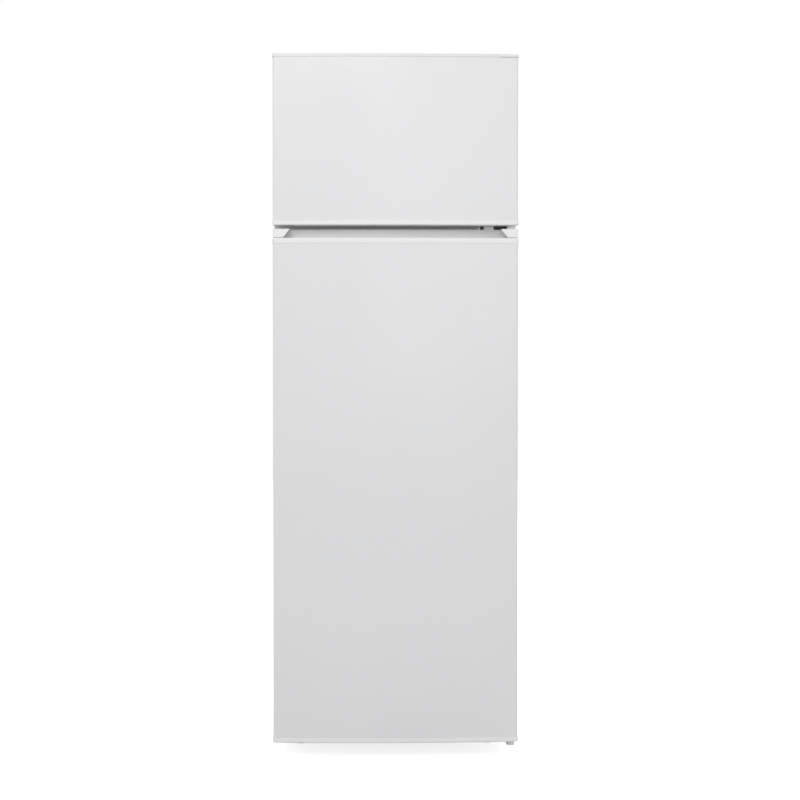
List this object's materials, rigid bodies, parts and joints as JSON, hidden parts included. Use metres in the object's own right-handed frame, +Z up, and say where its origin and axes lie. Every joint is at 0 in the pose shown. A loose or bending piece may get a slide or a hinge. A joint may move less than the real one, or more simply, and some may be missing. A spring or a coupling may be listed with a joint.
{
  "type": "top freezer refrigerator",
  "caption": "White free-standing top freezer refrigerator with two bowed doors, a grip recess between them, shelved rooms, crisper, compressor and rear wire condenser.",
  "frame": {"origin": "centre of the footprint, on the floor", "axes": "+X to the hinge side, +Y to the back, +Z up; the doors face -Y"},
  "size_m": [0.54, 0.58, 1.55],
  "materials": {
    "white_paint": "white gloss enamel",
    "white_cap": "white moulded",
    "liner_plastic": "white formed sheet",
    "foam": "rigid foam",
    "galvanised": "galvanised",
    "zinc_steel": "zinc plated",
    "dark_screws": "blackened",
    "seal": "soft grey",
    "clear_plastic": "clear polystyrene",
    "shelf_glass": "toughened",
    "trim_plastic": "white",
    "black_enamel": "black enamel",
    "black_rubber": "soft",
    "black_plastic": "moulded",
    "copper": "drawn copper",
    "evaporator_metal": "bonded sheet",
    "coated_wire": "white dip coat",
    "knob_plastic": "grey moulded",
    "lens_plastic": "frosted",
    "lamp_glass": "bulb"
  },
  "bodies": {
    "cabinet": {"left_side_panel": "white_paint", "right_side_panel": "white_paint", "top_sheet": "white_paint", "back_panel": "galvanised", "base_pan": "galvanised", "mullion_rail": "white_paint", "freezer_liner": "liner_plastic", "fridge_liner": "liner_plastic", "evaporator_plates": "evaporator_metal", "cabinet_foam": "foam", "top_panel": "white_cap", "corner_covers": "white_cap", "top_hinge": "zinc_steel", "middle_hinge": "zinc_steel", "middle_hinge_cap": "white_cap", "bottom_hinge": "white_paint", "hinge_screws": "dark_screws", "carrier_rail": "galvanised", "compressor": "black_enamel", "rubber_mounts": "black_rubber", "relay_box": "black_plastic", "drip_tray": "black_plastic", "condenser_tube": "black_enamel", "condenser_wires": "black_enamel", "wall_spacers": "black_plastic", "return_pipes": "copper", "glass_shelf_1": "shelf_glass", "glass_shelf_2": "shelf_glass", "glass_shelf_3": "shelf_glass", "crisper_cover": "shelf_glass", "shelf_trims": "trim_plastic", "freezer_shelf": "coated_wire", "thermostat_housing": "liner_plastic", "lamp_lens": "lens_plastic", "lamp": "lamp_glass", "door_switch": "liner_plastic"},
    "freezer_door": {"freezer_door_skin": "white_paint", "freezer_door_bottom_cap": "white_cap", "freezer_door_top_cap": "white_cap", "freezer_door_hinge_cover": "white_cap", "freezer_door_liner": "liner_plastic", "freezer_door_foam": "foam", "freezer_door_gasket": "seal", "freezer_bin": "clear_plastic"},
    "fridge_door": {"fridge_door_skin": "white_paint", "fridge_door_bottom_cap": "white_cap", "fridge_door_grip_cap": "white_cap", "fridge_door_liner": "liner_plastic", "fridge_door_foam": "foam", "fridge_door_gasket": "seal", "bottle_bin": "clear_plastic", "door_bin_1": "clear_plastic", "door_bin_2": "clear_plastic"},
    "crisper": {"crisper_drawer": "clear_plastic"},
    "switch_plunger": {"switch_plunger": "knob_plastic"},
    "thermostat_knob": {"thermostat_knob": "knob_plastic"},
    "left_foot": {"left_foot": "black_plastic"},
    "right_foot": {"right_foot": "black_plastic"},
    "left_roller": {"left_roller": "black_plastic"},
    "right_roller": {"right_roller": "black_plastic"}
  },
  "joints": [
    {"name": "freezer_door_hinge", "type": "hinge", "parent": "cabinet", "child": "freezer_door", "pos_m": [0.255, -0.258, 1.1756], "axis": [0, 0, 1], "range_deg": [0, 120]},
    {"name": "fridge_door_hinge", "type": "hinge", "parent": "cabinet", "child": "fridge_door", "pos_m": [0.255, -0.258, 0.0385], "axis": [0, 0, 1], "range_deg": [0, 120]},
    {"name": "crisper_slide", "type": "slide", "parent": "cabinet", "child": "crisper", "axis": [0, -1, 0], "range_m": [0, 0.151]},
    {"name": "switch_travel", "type": "slide", "parent": "cabinet", "child": "switch_plunger", "axis": [0, -1, 0], "range_m": [0, 0.0082]},
    {"name": "knob_turn", "type": "hinge", "parent": "cabinet", "child": "thermostat_knob", "pos_m": [0.055, -0.16, 1.1105], "axis": [0, -1, 0], "range_deg": [0, 270]},
    {"name": "left_foot_turn", "type": "hinge", "parent": "cabinet", "child": "left_foot", "pos_m": [-0.213, -0.102, 0.01], "axis": [0, 0, 1], "continuous": true},
    {"name": "right_foot_turn", "type": "hinge", "parent": "cabinet", "child": "right_foot", "pos_m": [0.213, -0.102, 0.01], "axis": [0, 0, 1], "continuous": true},
    {"name": "left_roller_spin", "type": "hinge", "parent": "cabinet", "child": "left_roller", "pos_m": [-0.226, 0.224, 0.0125], "axis": [1, 0, 0], "continuous": true},
    {"name": "right_roller_spin", "type": "hinge", "parent": "cabinet", "child": "right_roller", "pos_m": [0.226, 0.224, 0.0125], "axis": [1, 0, 0], "continuous": true}
  ],
  "couplings": [
    {"joint": "crisper_slide", "follows": "fridge_door_hinge", "m_per_rad": 0.07162},
    {"joint": "switch_travel", "follows": "fridge_door_hinge", "m_per_rad": 0.0038197}
  ]
}
